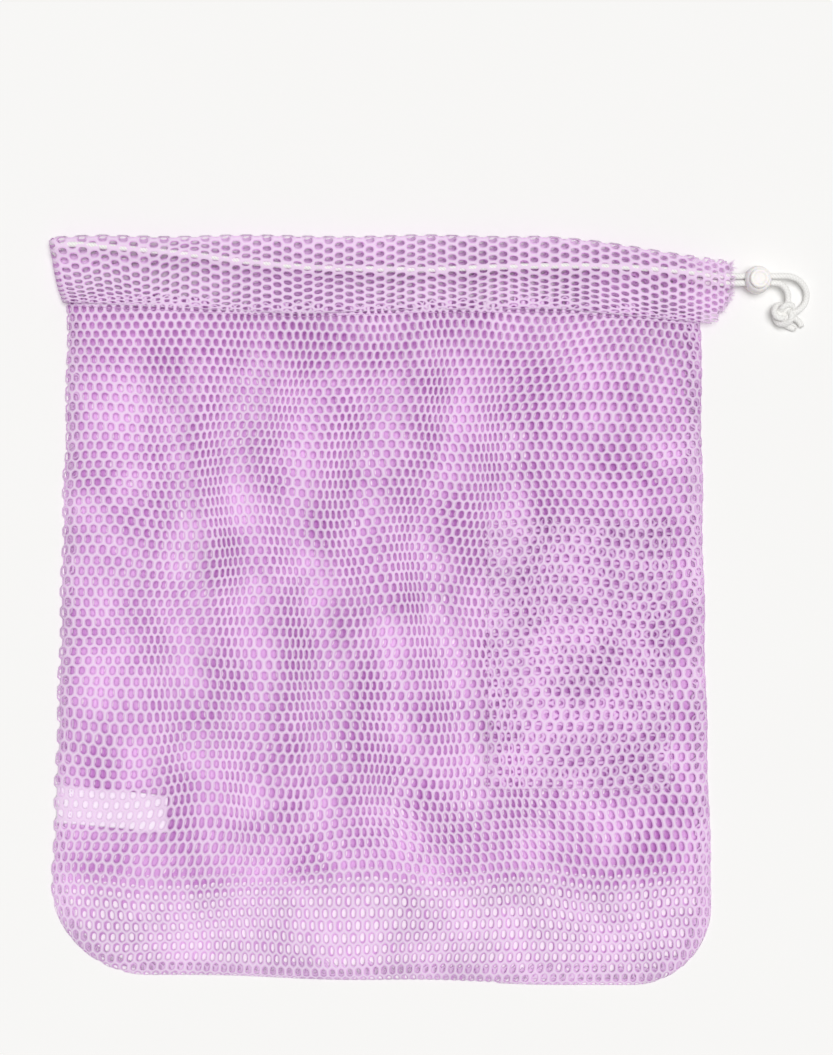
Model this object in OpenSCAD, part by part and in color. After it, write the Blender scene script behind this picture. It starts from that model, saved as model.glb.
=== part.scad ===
// Mesh laundry bag with a drawcord and a push-button cord lock, lying flat on its back.
// Millimetres. X runs across the bag, +Y towards its mouth, +Z up. The origin is the middle of the
// underside of the back panel, on the surface that the bag lies on.

/* [Bag] */
// Width of the body just below the drawcord channel
body_top_w = 446; // [380:2:520]
// Width of the body near its bottom seam
body_bottom_w = 462; // [400:2:540]
// Distance from the middle of the bag down to the bottom seam
bottom_reach = 258; // [220:2:300]
// Distance from the middle of the bag up to the channel's seam
seam_reach = 209; // [180:1:240]
// Radius of the bottom corner on the label's side
corner_left_r = 70; // [30:1:90]
// Radius of the bottom corner on the cord lock's side
corner_right_r = 56; // [30:1:90]
// Thickness of one layer of mesh
mesh_t = 0.8; // [0.6:0.1:1.0]
// Clear height of the mouth between the two sides of the channel
mouth_gap = 5; // [4.6:0.2:8]
// Width of the slope between the raised front panel and its side seams
slope_w = 30; // [20:1:40]

/* [Channel] */
// Depth of the drawcord channel, from its seam to the fold at the mouth
channel_depth = 53; // [45:1:60]
// Reach of the channel's folded end, left of the middle
channel_left = 233; // [232:1:240]
// Reach of the channel's raw end, right of the middle
channel_right = 246; // [244:1:246]
// Drop of the mouth fold at the raw end
channel_drop = 18; // [10:1:20]
// Length of the turn where the front and back of the channel join
turn_l = 22; // [20:1:26]

/* [Inner pocket] */
// Width of the pocket
pocket_w = 130; // [100:1:132]
// Height of the pocket
pocket_h = 189; // [120:1:200]
// Left edge of the pocket, right of the middle
pocket_x = 72; // [60:1:73]
// Bottom edge of the pocket, from the middle
pocket_y = -125; // [-150:1:-110]
// Clear depth inside the pocket
pocket_gap = 4.4; // [4.3:0.1:4.6]
// Depth of the hem along the pocket's open edge
pocket_hem_w = 12; // [8:1:16]

/* [Care label] */
// Length of the label out of the side seam
label_l = 78; // [60:1:90]
// Width of the label
label_w = 26; // [20:1:36]
// Height of the label's middle, below the middle of the bag
label_drop = 134; // [110:1:160]
// Slant of the label, in degrees
label_slant = -5.5; // [-8:0.5:0]
// Thickness of the label
label_t = 0.4; // [0.3:0.1:0.5]

/* [Drawcord] */
// Diameter of the drawcord
cord_d = 4.4; // [4.0:0.1:4.4]

/* [Cord lock] */
// Largest diameter of the barrel
lock_d = 19; // [18:0.5:20]
// Height of the barrel
lock_h = 18.5; // [18:0.5:20]
// Diameter of the push button
button_d = 13.5; // [13:0.1:13.5]
// Height that the button stands out of the barrel
button_out = 4.5; // [4:0.1:6]
// Travel of the button when it is pressed
button_travel = 3.6; // [3:0.1:3.6]

/* [Stitching] */
// Width of the overlocked seams
overlock_w = 5; // [4:0.5:6]
// Thickness of the overlocked seams
overlock_t = 0.8; // [0.7:0.1:0.9]
// Thickness of the rows of lockstitch
stitch_t = 0.5; // [0.4:0.1:0.8]
// Width of the rows of lockstitch
stitch_w = 1.2; // [0.8:0.1:2]

/* [Hidden] */

mesh_color = [0.80, 0.62, 0.86];
thread_color = [0.88, 0.74, 0.92];
cord_color = [0.95, 0.94, 0.92];
lock_color = [0.93, 0.90, 0.84];
steel_color = [0.70, 0.70, 0.72];

// Levels of the layers, from the surface up
tube_gap = cord_d + 0.6;                       // clear height inside the channel
tube_h = tube_gap + 2 * mesh_t;                // one side of the channel
front_z = tube_h + mouth_gap;                  // underside of the front panel
bag_top = front_z + tube_h;
cord_back_z = tube_h / 2;
cord_front_z = front_z + tube_h / 2;

mouth_lean = 1.5;                              // lean of the front panel's sides at the mouth

// Cord lock, standing on its base with both cords running through it along X
lock_x = 261;
lock_y = 231;
cord_z = 10.5;                                 // height of both cords in the lock
cord_pitch = 4.8;                              // distance between the two cords in the lock
lock_floor = 1.6;
bore_r = button_d / 2 + 0.05;                  // running fit of the button
slot_w = 10.4;
slot_clear = 0.3;
slot_h = cord_d + 2 * slot_clear;
button_low = 6;                                // underside of the button's shank at rest
button_slot_low = cord_z - cord_d / 2 - slot_clear;
button_slot_h = slot_h + button_travel;
spring_seat = 1.3;                             // depth of the spring's recess in the button
spring_r = 3.9;                                // mean radius of the coil
wire_d = 0.5;
spring_turns = 3.5;
spring_top = button_low + spring_seat;

cord_sides = 10;
sliver = 0.01;                                 // height of the thin plates that a slope is drawn between

// The channel's raw end
drop_l = 136;                                  // length over which the mouth fold drops towards it
raw_cut_l = 14;                                // its lower corner is cut off, along and across
raw_cut_w = 16;
turn_x = -channel_left + turn_l;
inner_end_x = body_top_w / 2 - 11;             // the inner layers stop here, and both cords come together

// Seams and stitching
seam_in = 4;                                   // distance of the overlocking from the edge
channel_stitch_in = 3;                         // distance of the row below the channel's seam
label_stitch_in = 11;                          // distance of the label's stitches from the edge

// The drawcord's route: in the front of the channel from its raw end to its fold, round the turn, and
// back behind. Both free ends then run through the lock to the knot.
route_front = [
    [240, 233.4, 10.7], [234, 233.4, 10.9], [227, 233.9, 12.1], [219, 234.9, 14],
    [210, 236, cord_front_z], [180, 238.5, cord_front_z], [145, 240, cord_front_z], [110, 240, cord_front_z],
    [70, 239, cord_front_z], [30, 237.5, cord_front_z], [-10, 238, cord_front_z],
    [-50, 239, cord_front_z], [-90, 242.5, cord_front_z], [-130, 247.5, cord_front_z],
    [-170, 251.5, cord_front_z], [-205, 254.5, cord_front_z]
];
route_turn = [
    [-219, 255, cord_front_z], [-225.5, 253, 12.7], [-228.5, 250.5, 9.2], [-225.5, 248, 5.6],
    [-219, 246, cord_back_z]
];
route_back = [
    [-205, 245.5, cord_back_z], [-170, 245, cord_back_z], [-130, 244, cord_back_z],
    [-90, 241, cord_back_z], [-50, 238.5, cord_back_z], [-10, 237.5, cord_back_z],
    [30, 237, cord_back_z], [70, 238, cord_back_z], [110, 238.5, cord_back_z],
    [145, 238, cord_back_z], [180, 235.5, cord_back_z], [210, 232, cord_back_z], [219, 230.6, 5.2],
    [227, 229.3, 8.4], [234, 228.6, 10.1], [240, 228.6, 10.3]
];
free_front = [
    [240, 233.4, 10.7], [246, 233.4, cord_z], [260, 233.4, cord_z], [276, 233.4, cord_z],
    [283, 233.3, 10.1], [289.5, 231, 8.6], [294, 226.5, 6.4], [296, 220.5, 4.2], [294.5, 214.5, 3.2],
    [290, 210, 4.6], [284, 207.5, 6.5]
];
free_back = [
    [240, 228.6, 10.3], [246, 228.6, cord_z], [260, 228.6, cord_z], [273, 228.6, cord_z],
    [277.5, 227.6, 10.3], [280.8, 224.2, 9.8], [282.3, 219.5, 9.1], [282, 214, 8.4], [281, 208, 7.8]
];
tail_a = [[283, 206, 6.5], [287, 204.5, 5], [290.5, 202.5, 3.2], [292.5, 199.5, 2.3]];
tail_b = [[279, 203, 5.5], [281.5, 200, 3.8], [284.5, 198.4, 2.6], [287.5, 197.4, 2.3]];

// The knot, a barrel across the ends of the cords
knot_x = 279.5;
knot_y = 207.5;
knot_l = 21;
knot_r = 7.8;

// ---- Shared shapes ----

// Points of an arc about (cx, cy), from one angle to another
function arc(cx, cy, r, from, to, steps = 10) =
    [for (i = [0:steps]) let (a = from + (to - from) * i / steps) [cx + r * cos(a), cy + r * sin(a)]];

// The body's outline, drawn in from its edge by a distance, and by another at the mouth's corners
function body_outline(inset, mouth_inset, top = seam_reach) = concat(
    [[-body_top_w / 2 + mouth_inset, top]],
    arc(-body_bottom_w / 2 + corner_left_r, -bottom_reach + corner_left_r,
        corner_left_r - inset, 180, 270),
    arc(body_bottom_w / 2 - corner_right_r, -bottom_reach + corner_right_r,
        corner_right_r - inset, 270, 360),
    [[body_top_w / 2 - mouth_inset, top]]
);

module plate(points, low, thick) {
    translate([0, 0, low]) linear_extrude(thick) polygon(points);
}

module slab(from, to) {
    translate(from) cube(to - from);
}

// A smooth curve through hand-set points, with some steps between each pair
function bend(p0, p1, p2, p3, t) = 0.5 * (
    2 * p1 + (p2 - p0) * t + (2 * p0 - 5 * p1 + 4 * p2 - p3) * t * t
    + (3 * p1 - p0 - 3 * p2 + p3) * t * t * t);
function curve(p, steps) = concat(
    [for (i = [0:len(p) - 2], s = [0:steps - 1])
        bend(p[max(i - 1, 0)], p[i], p[i + 1], p[min(i + 2, len(p) - 1)], s / steps)],
    [p[len(p) - 1]]);

function unit(v) = v / norm(v);
function heading(p, i) = unit(p[min(i + 1, len(p) - 1)] - p[max(i - 1, 0)]);
function ring(p, i, r, sides) =
    let (along = heading(p, i), side = unit(cross(along, [0, 0, 1])), up = cross(side, along))
    [for (k = [0:sides - 1]) p[i] + r * (cos(360 * k / sides) * side + sin(360 * k / sides) * up)];

// A round tube swept along a path
module tube(path, r, sides = cord_sides) {
    last = len(path) - 1;
    polyhedron(
        points = [for (i = [0:last]) each ring(path, i, r, sides)],
        faces = concat(
            [[for (k = [0:sides - 1]) k]],
            [for (i = [0:last - 1], k = [0:sides - 1])
                let (a = i * sides + k, b = i * sides + (k + 1) % sides)
                [a, a + sides, b + sides, b]],
            [[for (k = [sides - 1:-1:0]) last * sides + k]]));
}

// ---- The bag ----

module back_panel() {
    color(mesh_color) plate(body_outline(0, 0), 0, mesh_t);
}

// A raised shape that slopes up from the seams, and opens at full height towards the mouth
module raised(inset, low, high, top) {
    hull() {
        plate(body_outline(inset, inset, top), low, sliver);
        plate(body_outline(slope_w + inset, mouth_lean + inset, top), high - sliver, sliver);
    }
}

module front_panel() {
    color(mesh_color) difference() {
        raised(0, mesh_t, front_z + mesh_t, seam_reach);
        raised(mesh_t, mesh_t - 0.2, front_z, seam_reach + 1);
    }
}

// The strip that is folded over the mouth, with its raw ends beside the lock
channel_outline = [
    [-channel_left, seam_reach], [-channel_left, seam_reach + channel_depth],
    [channel_right - drop_l, seam_reach + channel_depth],
    [channel_right, seam_reach + channel_depth - channel_drop],
    [channel_right, seam_reach + raw_cut_w], [channel_right - raw_cut_l, seam_reach]
];
hollow_outline = [
    [-channel_left + mesh_t, seam_reach + mesh_t],
    [-channel_left + mesh_t, seam_reach + channel_depth - mesh_t],
    [channel_right - drop_l, seam_reach + channel_depth - mesh_t],
    [channel_right + 1, seam_reach + channel_depth - channel_drop - 1],
    [channel_right + 1, seam_reach + mesh_t]
];

module cord_channel() {
    far = channel_right + 5;
    low_y = seam_reach - 1;
    high_y = seam_reach + channel_depth + 1;
    color(mesh_color) difference() {
        plate(channel_outline, 0, bag_top);
        plate(hollow_outline, mesh_t, tube_gap);
        plate(hollow_outline, front_z + mesh_t, tube_gap);
        // the mouth
        slab([turn_x, low_y, tube_h], [far, high_y, front_z]);
        // the turn's inside
        slab([-channel_left + mesh_t, seam_reach + mesh_t, mesh_t],
            [turn_x - mesh_t, seam_reach + channel_depth - mesh_t, bag_top - mesh_t]);
        // between the raw ends of the outer layers
        slab([inner_end_x, low_y, mesh_t], [far, high_y, bag_top - mesh_t]);
    }
}

module inner_pocket() {
    low = front_z - pocket_gap - mesh_t;
    color(mesh_color) difference() {
        slab([pocket_x, pocket_y, low], [pocket_x + pocket_w, pocket_y + pocket_h, front_z]);
        slab([pocket_x + mesh_t, pocket_y + mesh_t, low + mesh_t],
            [pocket_x + pocket_w - mesh_t, pocket_y + pocket_h + 1, front_z + 1]);
    }
}

// The turned-back hem along the pocket's open edge, under the pocket's cloth
module pocket_hem() {
    low = front_z - pocket_gap - 2 * mesh_t;
    top_y = pocket_y + pocket_h;
    color(mesh_color) slab([pocket_x, top_y - pocket_hem_w, low],
        [pocket_x + pocket_w, top_y, low + mesh_t]);
}

// Half width of the body at a height, between its top and bottom widths
function half_w(y) = (body_top_w + (body_bottom_w - body_top_w)
    * (seam_reach - y) / (seam_reach + bottom_reach - corner_left_r)) / 2;

module care_label() {
    color("white") translate([-half_w(-label_drop) + 2, -label_drop, mesh_t])
        rotate([0, 0, label_slant]) translate([0, -label_w / 2, 0]) cube([label_l, label_w, label_t]);
}

// ---- Seams and stitching ----

// One overlocked side seam, on the side given by its sign
module side_seam(side, corner_r) {
    low_y = -bottom_reach + corner_r;
    top_y = seam_reach - 2;
    seam_out = [half_w(top_y) - seam_in, half_w(low_y) - seam_in];
    color(thread_color) plate([
        [side * seam_out[0], top_y], [side * (seam_out[0] - overlock_w), top_y],
        [side * (seam_out[1] - overlock_w), low_y], [side * seam_out[1], low_y]
    ], mesh_t, overlock_t);
}

// The label's end is held under this seam
module side_seam_left() {
    room = label_w / 2 + 4;
    difference() {
        side_seam(-1, corner_left_r);
        slab([-body_bottom_w, -label_drop - room, 0], [0, -label_drop + room, mesh_t + label_t]);
    }
}

module side_seam_right() {
    side_seam(1, corner_right_r);
}

module corner_seam(cx, r, from) {
    translate([cx, -bottom_reach + r, mesh_t]) rotate([0, 0, from])
        rotate_extrude(angle = 90) translate([r - seam_in - overlock_w, 0]) square([overlock_w, overlock_t]);
}

module bottom_seam() {
    left_x = -body_bottom_w / 2 + corner_left_r;
    right_x = body_bottom_w / 2 - corner_right_r;
    color(thread_color) {
        corner_seam(left_x, corner_left_r, 180);
        corner_seam(right_x, corner_right_r, 270);
        slab([left_x, -bottom_reach + seam_in, mesh_t],
            [right_x, -bottom_reach + seam_in + overlock_w, mesh_t + overlock_t]);
    }
}

module stitch_row(from_x, to_x, y, z) {
    color(thread_color) slab([from_x, y - stitch_w / 2, z], [to_x, y + stitch_w / 2, z + stitch_t]);
}

module channel_stitch_front() {
    stitch_row(-body_top_w / 2 + 8, body_top_w / 2 - 8, seam_reach - channel_stitch_in,
        front_z + mesh_t);
}

module channel_stitch_back() {
    stitch_row(-body_top_w / 2 + 12, body_top_w / 2 - 12, seam_reach - channel_stitch_in, mesh_t);
}

// The stitches that hold the pocket's three closed sides, on the face of the front panel
module pocket_stitch() {
    z = front_z + mesh_t;
    left = pocket_x + stitch_w;
    right = pocket_x + pocket_w - stitch_w;
    low = pocket_y + stitch_w;
    high = pocket_y + pocket_h - stitch_w;
    color(thread_color) difference() {
        slab([left - stitch_w / 2, low - stitch_w / 2, z],
            [right + stitch_w / 2, high, z + stitch_t]);
        slab([left + stitch_w / 2, low + stitch_w / 2, z - 1],
            [right - stitch_w / 2, high + 1, z + stitch_t + 1]);
    }
}

module label_stitch() {
    color(thread_color) translate([-half_w(-label_drop) + label_stitch_in, -label_drop, mesh_t + label_t])
        rotate([0, 0, label_slant])
            translate([0, -label_w / 2 + 1, 0]) cube([stitch_w, label_w - 2, stitch_t]);
}

// ---- The drawcord ----

module drawcord() {
    color(cord_color) tube(concat(
        curve(route_front, 1), curve(route_turn, 2), curve(route_back, 1)), cord_d / 2);
}

module cord_end_front() {
    color(cord_color) tube(curve(free_front, 1), cord_d / 2);
}

module cord_end_back() {
    color(cord_color) tube(curve(free_back, 1), cord_d / 2);
}

module cord_knot() {
    color(cord_color) translate([knot_x, knot_y, knot_r]) rotate([0, 90, 0])
        rotate_extrude() polygon(concat(
            [[0, -knot_l / 2]],
            [for (a = [-75:15:75]) [knot_r * cos(a), knot_l / 2 * sin(a)]],
            [[0, knot_l / 2]]));
}

module cord_tails() {
    color(cord_color) {
        tube(curve(tail_a, 2), cord_d / 2);
        tube(curve(tail_b, 2), cord_d / 2);
    }
}

// ---- The cord lock ----

module cord_slot(low, high) {
    slab([-lock_d, -slot_w / 2, low], [lock_d, slot_w / 2, high]);
}

module lock_housing() {
    r = lock_d / 2;
    color(lock_color) translate([lock_x, lock_y, 0]) difference() {
        rotate_extrude() difference() {
            polygon([
                [0, 0], [r - 2.2, 0], [r - 1.2, 0.4], [r - 0.5, 1.4], [r, 4], [r, lock_h - 6],
                [r - 0.4, lock_h - 3.4], [r - 1.0, lock_h - 1.2], [r - 1.7, lock_h - 0.3],
                [r - 2.2, lock_h], [0, lock_h]
            ]);
            translate([0, lock_floor]) square([bore_r, lock_h]);
        }
        cord_slot(cord_z - slot_h / 2, cord_z + slot_h / 2);
    }
}

module lock_button() {
    r = button_d / 2;
    top = lock_h + button_out;
    color(lock_color) translate([lock_x, lock_y, 0]) difference() {
        rotate_extrude() difference() {
            polygon([
                [0, button_low], [r, button_low], [r, top - 1.4], [r - 0.3, top - 0.6],
                [r - 1.0, top], [r - 2.0, top], [r - 3.2, top - 0.6], [0, top - 0.9]
            ]);
            translate([0, button_low - 1]) square([spring_r + wire_d, spring_seat + 1]);
        }
        cord_slot(button_slot_low, button_slot_low + button_slot_h);
    }
}

function coil(r, low, high, turns, steps) =
    [for (i = [0:steps]) let (a = 360 * turns * i / steps)
        [r * cos(a), r * sin(a), low + (high - low) * i / steps]];

module lock_spring() {
    color(steel_color) translate([lock_x, lock_y, 0])
        tube(coil(spring_r, lock_floor + wire_d / 2 + 0.05, spring_top - wire_d / 2 - 0.05,
            spring_turns, 56), wire_d / 2, 6);
}

back_panel();
front_panel();
cord_channel();
inner_pocket();
pocket_hem();
care_label();
side_seam_left();
side_seam_right();
bottom_seam();
channel_stitch_front();
channel_stitch_back();
pocket_stitch();
label_stitch();
drawcord();
cord_end_front();
cord_end_back();
cord_knot();
cord_tails();
lock_housing();
lock_button();
lock_spring();
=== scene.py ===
import math

import bpy
import numpy as np
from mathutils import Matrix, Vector


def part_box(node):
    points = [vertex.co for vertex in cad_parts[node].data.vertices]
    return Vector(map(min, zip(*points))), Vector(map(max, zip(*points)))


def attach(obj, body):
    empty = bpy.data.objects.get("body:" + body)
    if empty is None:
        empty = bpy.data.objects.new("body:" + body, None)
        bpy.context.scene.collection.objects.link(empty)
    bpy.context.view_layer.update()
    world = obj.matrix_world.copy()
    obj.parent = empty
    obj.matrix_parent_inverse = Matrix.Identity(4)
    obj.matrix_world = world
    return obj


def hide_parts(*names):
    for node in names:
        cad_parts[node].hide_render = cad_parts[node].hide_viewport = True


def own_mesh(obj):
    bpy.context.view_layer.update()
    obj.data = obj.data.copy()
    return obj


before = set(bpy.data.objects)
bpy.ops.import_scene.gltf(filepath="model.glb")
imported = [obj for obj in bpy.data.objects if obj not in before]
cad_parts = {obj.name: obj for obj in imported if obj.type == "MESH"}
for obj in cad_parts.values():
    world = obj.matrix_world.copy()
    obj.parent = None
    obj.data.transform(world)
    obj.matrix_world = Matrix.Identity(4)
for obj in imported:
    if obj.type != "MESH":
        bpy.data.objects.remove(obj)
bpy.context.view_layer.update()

MM = 0.001


def placed(name, data):
    """An object put into the scene."""
    thing = bpy.data.objects.new(name, data)
    bpy.context.scene.collection.objects.link(thing)
    return thing


def box_mm(node):
    """A CAD node's lowest and highest corners, in millimetres."""
    return [np.array(corner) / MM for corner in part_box(node)]


# ---- Camera: straight above the bag, with the lock's side and the space above the mouth in view ----

back_low = box_mm("back_panel")[0]
channel_low, channel_high = box_mm("cord_channel")

CAMERA_HEIGHT = 1.8
VIEW_H = 0.7385  # height of the floor that the picture shows
SENSOR = 36.0
camera_data = bpy.data.cameras.new("camera")
camera_data.sensor_width = SENSOR
camera_data.lens = SENSOR * CAMERA_HEIGHT / VIEW_H
camera_data.clip_end = 20
camera = placed("camera", camera_data)
camera.location = (0.0235, 0.0585, CAMERA_HEIGHT)
bpy.context.scene.camera = camera
bpy.context.scene.view_settings.view_transform = "Standard"

# ---- Sizes of the net and the cord ----

PITCH = 6.6  # width of one cell of the net, across its columns
ROW = 7.5  # distance between two rows of cells
NET_T = 0.8  # thickness of the yarn
HOLE = (0.308, 0.408)  # half width of a hole in pitches, and half height in rows
CORD_D = 4.4

SEAM_Y = channel_low[1]  # the seam between the body and the channel
FOLD_Y = channel_high[1]  # the fold at the mouth
CHANNEL_LEFT = channel_low[0]
RAW_END_X = channel_high[0]
HALF_TOP = 223.0  # half width of the body at the seam
CORNER_LEFT_R = 70.0
CORNER_RIGHT_R = 56.0


def smoothstep(x, low, high):
    t = np.clip((x - low) / (high - low), 0, 1)
    return t * t * (3 - 2 * t)


RIPPLE_TERMS = 6


def ripple(x, y, seed, wave):
    """Smooth uneven ground from -1 to 1, as a sum of sines that cross in all directions."""
    rng = np.random.default_rng(seed)
    total = 0
    for _ in range(RIPPLE_TERMS):
        angle, phase = rng.uniform(0, math.tau, 2)
        length = wave * rng.uniform(0.7, 1.4)
        along = x * math.cos(angle) + y * math.sin(angle)
        total = total + np.sin(math.tau * along / length + phase)
    return total / RIPPLE_TERMS * 1.4


def columns(*values):
    """Values side by side, with one row for each point."""
    return np.stack(values, axis=1)


def unit(v):
    """Each row brought to length 1."""
    return v / np.linalg.norm(v, axis=1, keepdims=True)


def left_of(ahead):
    """Directions in the plane turned a quarter to the left."""
    return columns(-ahead[:, 1], ahead[:, 0])


def smooth_path(points, step):
    """A smooth curve through given points, with points about a step apart."""
    p = np.array(points, float)
    p = np.vstack([2 * p[0] - p[1], p, 2 * p[-1] - p[-2]])
    out = []
    for i in range(1, len(p) - 2):
        n = max(2, math.ceil(np.linalg.norm(p[i + 1] - p[i]) / step))
        t = np.linspace(0, 1, n, endpoint=False)[:, None]
        out.append(0.5 * (
            2 * p[i] + (p[i + 1] - p[i - 1]) * t
            + (2 * p[i - 1] - 5 * p[i] + 4 * p[i + 1] - p[i + 2]) * t ** 2
            + (3 * p[i] - p[i - 1] - 3 * p[i + 1] + p[i + 2]) * t ** 3))
    return np.vstack(out + [p[-2:-1]])


def along(path):
    """Distance along a path at each of its points."""
    return np.concatenate([[0], np.cumsum(np.linalg.norm(np.diff(path, axis=0), axis=1))])


def points_at(path, want):
    """Points of a path at the distances wanted along it."""
    at = along(path)
    return columns(*[np.interp(want, at, path[:, k]) for k in range(path.shape[1])])


def spaced(path, step):
    """The same path with evenly spaced points."""
    length = along(path)[-1]
    return points_at(path, np.linspace(0, length, max(2, round(length / step) + 1)))


# ---- Meshes ----

def mark(mesh, name, values):
    """A number at each point of a mesh, for its material to read."""
    values = np.broadcast_to(values, len(mesh.vertices)).astype(np.float32)
    mesh.attributes.new(name, "FLOAT", "POINT").data.foreach_set("value", values)


def new_mesh(name, shape, material, nodes=(), body="bag", rim=None, inner=None):
    """An object from a shape: (points in millimetres, quads, uv).

    A quad whose last two corners are the same is a triangle. inner marks a net: its points' share of the
    bag's inner side, which its material paints in deeper colours as painted shade. Its two faces' shading is
    kept apart round the holes.
    """
    mesh = bpy.data.meshes.new(name)
    points, quads, uv = shape
    sides = np.where(quads[:, 2] == quads[:, 3], 3, 4)
    corner = np.arange(4)[None, :] < sides[:, None]
    mesh.vertices.add(len(points))
    mesh.vertices.foreach_set("co", (points * MM).astype(np.float32).ravel())
    mesh.loops.add(int(sides.sum()))
    mesh.loops.foreach_set("vertex_index", quads[corner].astype(np.int32))
    mesh.polygons.add(len(quads))
    mesh.polygons.foreach_set("loop_start", np.concatenate([[0], np.cumsum(sides)[:-1]]).astype(np.int32))
    mesh.polygons.foreach_set("loop_total", sides.astype(np.int32))
    mesh.update(calc_edges=True)
    mesh.polygons.foreach_set("use_smooth", np.full(len(quads), True))
    mesh.uv_layers.new(name="Yarn").data.foreach_set("uv", uv[corner].astype(np.float32).ravel())
    if rim is not None:
        mark(mesh, "rim", rim)
    if inner is not None:
        mark(mesh, "inner", inner)
        ends = np.zeros(2 * len(mesh.edges), np.int32)
        mesh.edges.foreach_get("vertices", ends)
        round_hole = (rim[ends.reshape(-1, 2)] > 0.99).all(axis=1)
        mesh.attributes.new("sharp_edge", "BOOLEAN", "EDGE").data.foreach_set("value", round_hole)
    mesh.materials.append(material)
    piece = placed(name, mesh)
    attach(piece, body)
    if nodes:
        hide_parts(*nodes)
    return piece


def joined(parts):
    """Several shapes as one."""
    points, quads, uv = zip(*parts)
    starts = np.cumsum([0] + [len(p) for p in points[:-1]])
    return np.vstack(points), np.vstack([q + s for q, s in zip(quads, starts)]), np.vstack(uv)


def frames_along(path):
    """Two directions square to a path at each point, carried along it without a twist."""
    ahead = unit(np.gradient(path, axis=0))
    side = np.zeros_like(path)
    start = np.cross(ahead[0], [0, 0, 1])
    if np.linalg.norm(start) < 0.1:
        start = np.cross(ahead[0], [0, 1, 0])
    side[0] = start / np.linalg.norm(start)
    for i in range(1, len(path)):
        s = side[i - 1] - ahead[i] * np.dot(side[i - 1], ahead[i])
        side[i] = s / np.linalg.norm(s)
    return side, np.cross(ahead, side)


def tube(path, radius, sides=8, relief=None):
    """A round tube along a path, with closed ends. relief(distance, turn) adds to the radius."""
    side, up = frames_along(path)
    turn = np.arange(sides) / sides
    distance = along(path)
    r = np.broadcast_to(np.asarray(radius, float), (len(path),))[:, None] * np.ones(sides)
    if relief is not None:
        r = r + relief(distance[:, None], turn[None, :])
    c, s = np.cos(math.tau * turn)[None, :, None], np.sin(math.tau * turn)[None, :, None]
    rings = path[:, None, :] + r[:, :, None] * (c * side[:, None, :] + s * up[:, None, :])
    points = np.vstack([rings.reshape(-1, 3), path[:1], path[-1:]])
    i, k = np.meshgrid(np.arange(len(path) - 1), np.arange(sides), indexing="ij")
    i, k = i.ravel(), k.ravel()
    n = (k + 1) % sides
    quads = columns(i * sides + k, i * sides + n, (i + 1) * sides + n, (i + 1) * sides + k)
    d, d_next, t, t_next = distance[i], distance[i + 1], turn[k], turn[k] + 1 / sides
    uv = columns(columns(d, t), columns(d, t_next), columns(d_next, t_next), columns(d_next, t))
    k = np.arange(sides)
    n = (k + 1) % sides
    last = (len(path) - 1) * sides
    first_cap = np.stack([n, k] + [np.full(sides, len(points) - 2)] * 2, 1)
    last_cap = np.stack([last + k, last + n] + [np.full(sides, len(points) - 1)] * 2, 1)
    caps = np.zeros((2 * sides, 4, 2))
    return points, np.vstack([quads, first_cap, last_cap]), np.vstack([uv, caps])


# ---- Materials ----

class Nodes:
    """A material's node tree, with short calls to add and join nodes."""

    def __init__(self, name):
        self.material = bpy.data.materials.new(name)
        self.material.use_nodes = True
        self.tree = self.material.node_tree
        self.tree.nodes.clear()
        self.out = self.add("ShaderNodeOutputMaterial")
        self.where = self.add("ShaderNodeTexCoord").outputs["Object"]

    def add(self, kind, inputs=(), **settings):
        node = self.tree.nodes.new(kind)
        for key, value in settings.items():
            setattr(node, key, value)
        for key, value in dict(inputs).items():
            self.put(node.inputs[key], value)
        return node

    def put(self, socket, value):
        if isinstance(value, bpy.types.NodeSocket):
            self.tree.links.new(value, socket)
        else:
            socket.default_value = value

    def noise(self, scale, detail=3.0, rough=0.55):
        return self.add("ShaderNodeTexNoise", {
            "Vector": self.where, "Scale": scale, "Detail": detail, "Roughness": rough}).outputs["Fac"]

    def attribute(self, name):
        return self.add("ShaderNodeAttribute", attribute_name=name).outputs["Fac"]

    def yarn(self):
        """X and Y of the yarn's own coordinates."""
        uv = self.add("ShaderNodeUVMap", uv_map="Yarn").outputs["UV"]
        split = self.add("ShaderNodeSeparateXYZ", {"Vector": uv})
        return split.outputs["X"], split.outputs["Y"]

    def mix_shader(self, fac, a, b):
        return self.add("ShaderNodeMixShader", {0: fac, 1: a, 2: b}).outputs[0]

    def math(self, how, a, b=0.0, c=0.0):
        return self.add("ShaderNodeMath", {0: a, 1: b, 2: c}, operation=how).outputs[0]

    def mix(self, fac, a, b):
        node = self.add("ShaderNodeMix", data_type="RGBA")
        self.put(node.inputs["Factor"], fac)
        self.put(node.inputs[6], a if isinstance(a, bpy.types.NodeSocket) else (*a, 1))
        self.put(node.inputs[7], b if isinstance(b, bpy.types.NodeSocket) else (*b, 1))
        return node.outputs[2]

    def tint(self, color, fac, amount, towards):
        """A colour drawn some way towards another, as far as a pattern says."""
        return self.mix(self.math("MULTIPLY", fac, amount), color, towards)

    def ply(self, slant):
        """Waves along a slant that is counted in turns."""
        return self.math("SINE", self.math("MULTIPLY", slant, math.tau))

    def lit_through(self, share, cloth, color, **inputs):
        """Cloth with a share of the light that falls on it coming out behind it."""
        glow = self.add("ShaderNodeBsdfTranslucent", {"Color": (*color, 1), **inputs})
        return self.mix_shader(share, cloth, glow.outputs[0])

    def bump(self, height, depth, strength=1.0, normal=None):
        node = self.add("ShaderNodeBump", {"Height": height, "Distance": depth, "Strength": strength})
        if normal is not None:
            self.put(node.inputs["Normal"], normal)
        return node.outputs["Normal"]

    def principled(self, **inputs):
        node = self.add("ShaderNodeBsdfPrincipled")
        for key, value in inputs.items():
            self.put(node.inputs[key.replace("_", " ")], value)
        return node.outputs["BSDF"]

    def show(self, shader):
        self.tree.links.new(shader, self.out.inputs["Surface"])
        return self.material


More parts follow.
